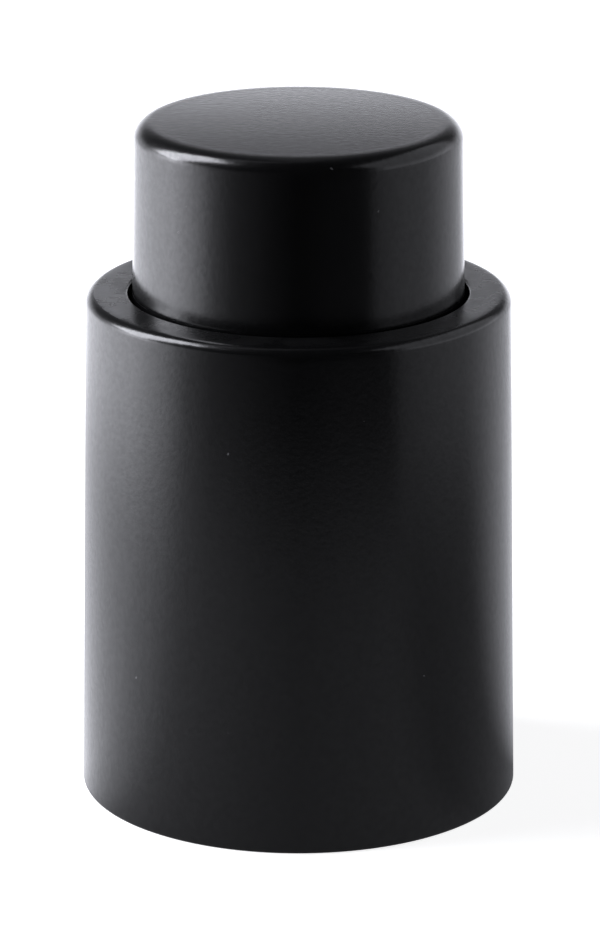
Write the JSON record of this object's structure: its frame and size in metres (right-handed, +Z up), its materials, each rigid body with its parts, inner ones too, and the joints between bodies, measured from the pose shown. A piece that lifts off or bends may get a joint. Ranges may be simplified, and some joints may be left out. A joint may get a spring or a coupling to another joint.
{
  "type": "vacuum wine stopper",
  "caption": "Black vacuum wine stopper: a sleeve over the bottle's neck with a sprung press cap that pumps air out through a ribbed silicone plug.",
  "frame": {"origin": "centre of the sleeve's base, on the surface that the stopper stands on", "axes": "+Z up along the axis of the sleeve and the cap; the guide ribs lie on the X and Y axes"},
  "size_m": [0.044, 0.044, 0.0688],
  "materials": {
    "satin_black_plastic": "satin black moulded plastic with a very fine spark-eroded grain",
    "dark_grey_plastic": "plain dark grey moulded plastic",
    "natural_plastic": "milky white moulded plastic",
    "black_silicone": "soft matt black silicone",
    "zinc_plated_steel": "bright zinc plate",
    "spring_steel": "drawn stainless wire"
  },
  "bodies": {
    "sleeve": {"housing": "satin_black_plastic", "neck_guide": "dark_grey_plastic", "pump_body": "dark_grey_plastic", "plug": "black_silicone", "inlet_valve": "black_silicone", "return_spring": "spring_steel"},
    "press_cap": {"cap": "satin_black_plastic", "cap_carrier": "dark_grey_plastic", "carrier_screw": "zinc_plated_steel", "piston": "natural_plastic", "piston_seal": "black_silicone"}
  },
  "joints": [
    {"name": "cap_press", "type": "slide", "parent": "sleeve", "child": "press_cap", "axis": [0, 0, -1], "range_m": [0, 0.0145], "stiffness_N_per_m": 650, "springref_m": -0.015, "deforming": ["return_spring"]}
  ]
}
